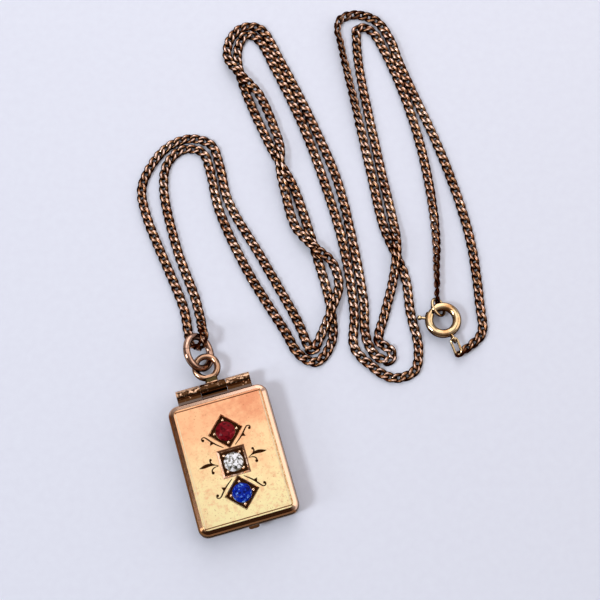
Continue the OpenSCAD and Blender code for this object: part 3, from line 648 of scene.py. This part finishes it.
def paste(name, look):
    # cut paste on foil: painted reflections flash from facet to facet between its deep and its bright
    # shade
    material, tree, shader = newMaterial(name)
    flash = addNode(tree, "ShaderNodeAttribute", attribute_name="flash").outputs["Fac"]
    spot = addNode(tree, "ShaderNodeTexCoord").outputs["Object"]
    cloud = addNode(tree, "ShaderNodeTexNoise", {"Vector": spot, "Scale": 1 / (0.5 * mm), "Detail": 2.0})
    # painted reflections of the small facets below, seen through the stone
    chips = addNode(tree, "ShaderNodeTexVoronoi", {"Vector": spot, "Scale": 1 / (0.42 * mm)})
    chips = addNode(tree, "ShaderNodeSeparateColor", {0: chips.outputs["Color"]})
    flash = addNode(tree, "ShaderNodeMath", {0: flash, 1: 0.35, 2: 0.1}, operation="MULTIPLY_ADD")
    flash = addNode(tree, "ShaderNodeMath", {0: chips, 1: 0.6, 2: flash}, operation="MULTIPLY_ADD")
    body = addNode(tree, "ShaderNodeMapRange", {0: flash, 1: 0.36, 2: 0.54})
    deep, middle, bright = look["shades"]
    colour = addNode(tree, "ShaderNodeMix", {0: body, 6: deep, 7: middle}, data_type="RGBA")
    glint = addNode(tree, "ShaderNodeMapRange", {0: flash, 1: look["glint"], 2: look["glint"] + 0.1})
    colour = addNode(tree, "ShaderNodeMix", {0: glint, 6: colour, 7: bright}, data_type="RGBA")
    tree.links.new(colour.outputs[2], shader.inputs["Base Color"])
    rough = addNode(tree, "ShaderNodeMapRange", {0: cloud, 3: 0.1, 4: 0.3})
    tree.links.new(rough.outputs[0], shader.inputs["Roughness"])
    shader.inputs["IOR"].default_value = 1.6
    shader.inputs["Specular IOR Level"].default_value = look["gloss"]
    return material


def cutFacets(cut, y, turn, bottom, top):
    # a round brilliant: table, crown and pavilion of flat facets; its table is split like the facets
    # that are seen through it
    radius, girdle = cut["radius"], cut["girdleZ"]
    shape = bmesh.new()

    def ring(share, z, start=0.0, count=8):
        return [shape.verts.new(locketPoint(
            radius * share * math.cos(turn + 2 * math.pi * (i + start) / count),
            y + radius * share * math.sin(turn + 2 * math.pi * (i + start) / count), z))
            for i in range(count)]

    heart = shape.verts.new(locketPoint(0.0, y, top))
    inner = ring(cut["mosaic"], top, 0.5)
    table = ring(cut["table"], top)
    star = ring(cut["star"], girdle + cut["girdleHeight"] + cut["starHeight"] * (top - girdle), 0.5)
    upper = ring(1.0, girdle + cut["girdleHeight"], 0.0, 16)
    lower = ring(1.0, girdle - cut["girdleHeight"], 0.0, 16)
    culet = shape.verts.new(locketPoint(0.0, y, bottom))
    belt = ring(cut["belt"], (bottom + girdle) / 2, 0.5)
    for i in range(8):
        j = (i + 1) % 8
        a, b, c = 2 * i, 2 * i + 1, (2 * i + 2) % 16
        for corners in (
                (heart, inner[i], table[j], inner[j]), (inner[i], table[i], table[j]),
                (table[i], star[i], table[j]), (table[i], star[i - 1], upper[a], star[i]),
                (star[i], upper[a], upper[b]), (star[i], upper[b], upper[c]),
                (upper[a], lower[a], lower[b], upper[b]), (upper[b], lower[b], lower[c], upper[c]),
                (lower[a], belt[i - 1], belt[i]), (lower[a], belt[i], lower[b]),
                (lower[b], belt[i], lower[c]), (belt[i - 1], culet, belt[i])):
            shape.faces.new(corners)
    return shape


def brilliant(colourName, cut, step, turn):
    name, nodeName = colourName + "_brilliant", colourName + "_stone"
    bottom, top = (corner[2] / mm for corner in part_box(nodeName))
    mesh = closedMesh(cutFacets(cut, settingY(step), turn, bottom, top), name)
    # each facet has its own painted flash
    flashes = np.random.default_rng(cut["seed"] + step).random(len(mesh.polygons))
    mesh.attributes.new("flash", "FLOAT", "FACE").data.foreach_set("value", flashes)
    mesh.materials.append(paste(name + "_paste", stoneLooks[colourName]))
    stone = addObject(name, mesh)
    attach(stone, "cover")
    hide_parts(nodeName)


for step, setting in enumerate(stoneSettings):
    brilliant(setting["stone"], stoneCut, step, math.radians(setting["turn"]))
print("stones cut")

brightCut = {"out": 0.1, "z": 5.004, "depth": 0.33}  # mm; "out" is measured from the recess's edge


def brightCutEdges(cut):
    # the sloping sides cut round each recess, as frames of three faces
    shape = bmesh.new()
    for step, setting in enumerate(stoneSettings):
        y = settingY(step)
        outer, inner = setting["side"] / 2 + cut["out"], setting["side"] / 2 - setting["slope"]
        top, foot = cut["z"], cut["z"] - cut["depth"]
        loops = []
        for half, z in ((outer, top), (inner, foot), (outer, foot)):
            angles = [math.radians(setting["turn"] + 45 + 90 * corner) for corner in range(4)]
            reach = half * math.sqrt(2)
            loops.append([shape.verts.new(locketPoint(reach * math.cos(a), y + reach * math.sin(a), z))
                          for a in angles])
        for first, second in zip(loops, loops[1:] + loops[:1]):
            for i in range(4):
                shape.faces.new((first[i], first[(i + 1) % 4], second[(i + 1) % 4], second[i]))
    mesh = closedMesh(shape, "bright_cut_edges")
    mesh.materials.append(wireGold("bright_cut_gold", cutGold))
    frames = addObject("bright_cut_edges", mesh)
    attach(frames, "cover")


brightCutEdges(brightCut)
print("bright-cut edges made")

# mm; "out" is the distance from the stone's middle
beads = {"out": 2.1, "z": 4.68, "radius": 0.31, "rings": 8, "segments": 12}


def beadTree():
    tree = newTree("settingBeads", ("Radius",), ("Segments", "Rings"))
    given = addNode(tree, "NodeGroupInput").outputs
    bead = addNode(tree, "GeometryNodeMeshUVSphere", {
        "Segments": given["Segments"], "Rings": given["Rings"], "Radius": given["Radius"]})
    placed = addNode(tree, "GeometryNodeInstanceOnPoints", {"Points": given["Geometry"], "Instance": bead})
    endTree(tree, placed, given["Finish"])
    return tree


def beadSource(sizes):
    spots = []
    for step, setting in enumerate(stoneSettings):
        for corner in range(4):
            angle = math.radians(setting["turn"] + 45 + 90 * corner)
            spots.append(locketPoint(sizes["out"] * math.cos(angle),
                                     settingY(step) + sizes["out"] * math.sin(angle), sizes["z"]))
    mesh = bpy.data.meshes.new("beadSpots")
    mesh.from_pydata(spots, [], [])
    return mesh


settingBeads = runTree("setting_beads", beadSource(beads), beadTree(), {
    "Radius": beads["radius"] * mm, "Segments": beads["segments"], "Rings": beads["rings"],
    "Finish": wireGold("bright_gold_bead", beadGold)})
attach(settingBeads, "cover")
print("setting beads made")

# lamps: place and size in mm, and power in watts; all point at the origin
studio = {
    "key": {"at": (-560, -315, 730), "size": 220, "power": 3.3, "colour": "#eef5ff"},
    "window": {"at": (-820, -350, 430), "size": 300, "power": 1.5, "colour": "#f2f6ff"},
    "panel": {"at": (-12, 165, 370), "size": 434, "power": 0.475, "colour": "#fdf9fd"},
    "back": {"at": (40, 340, 150), "size": 370, "power": 0.42, "colour": "#fdf8fc"},
    "right": {"at": (520, 60, 300), "size": 560, "power": 0.8, "colour": "#fff6f2"},
}
# the room's light, from dark to pale, by how far a direction goes up, right and back
room = {"dark": "#8a7266", "pale": "#f6f2f8", "strength": 0.36, "from": -0.25, "to": 0.8,
        "up": 0.8, "right": 0.45, "back": 0.9}
card = {"half": 1.5,  # metres
        "colours": ("#e6e9f3", "#ecf0f9"), "grain": 1.5,  # mm
        "roughness": 0.8}


def whiteCard(look):
    # matt white card: cool white with a barely seen grain
    material, tree, shader = newMaterial("matt_white_card")
    spot = addNode(tree, "ShaderNodeTexCoord").outputs["Object"]
    grain = addNode(tree, "ShaderNodeTexNoise", {
        "Vector": spot, "Scale": 1 / (look["grain"] * mm), "Detail": 3.0})
    darker, lighter = look["colours"]
    colour = addNode(tree, "ShaderNodeMix", {0: grain, 6: darker, 7: lighter}, data_type="RGBA")
    tree.links.new(colour.outputs[2], shader.inputs["Base Color"])
    shader.inputs["Roughness"].default_value = look["roughness"]
    return material


def makeFloor(look):
    half = look["half"]
    mesh = bpy.data.meshes.new("floor")
    mesh.from_pydata([(-half, -half, 0), (half, -half, 0), (half, half, 0), (-half, half, 0)], [],
                     [(0, 1, 2, 3)])
    floor = addObject("floor", mesh)
    mesh.materials.append(whiteCard(look))


def makeLight(name, lamp):
    data = bpy.data.lights.new(name, "AREA")
    data.shape = "DISK"
    data.size = lamp["size"] * mm
    data.energy = lamp["power"]
    data.color = linear(lamp["colour"])[:3]
    light = addObject(name, data)
    light.location = Vector(lamp["at"]) * mm
    light.rotation_euler = (-light.location).to_track_quat("-Z", "Y").to_euler()


def makeRoom(look):
    # bright above, behind and to the right, and dark brown low in front and to the left
    world = bpy.data.worlds.new("room")
    scene.world = world
    world.use_nodes = True
    tree = world.node_tree
    tree.nodes.clear()
    way = addNode(tree, "ShaderNodeTexCoord").outputs["Generated"]
    x, y, z = addNode(tree, "ShaderNodeSeparateXYZ", {0: way}).outputs
    lit = addNode(tree, "ShaderNodeMath", {0: z, 1: look["up"]}, operation="MULTIPLY")
    lit = addNode(tree, "ShaderNodeMath", {0: x, 1: look["right"], 2: lit}, operation="MULTIPLY_ADD")
    lit = addNode(tree, "ShaderNodeMath", {0: y, 1: look["back"], 2: lit}, operation="MULTIPLY_ADD")
    lit = addNode(tree, "ShaderNodeMapRange", {0: lit, 1: look["from"], 2: look["to"]},
                  interpolation_type="SMOOTHSTEP")
    glow = addNode(tree, "ShaderNodeMix", {0: lit, 6: look["dark"], 7: look["pale"]}, data_type="RGBA")
    sky = addNode(tree, "ShaderNodeBackground", {"Color": glow, "Strength": look["strength"]})
    addNode(tree, "ShaderNodeOutputWorld", {0: sky})


makeFloor(card)
for lightName, lamp in studio.items():
    makeLight(lightName, lamp)
makeRoom(room)
print("floor, lights and room made")
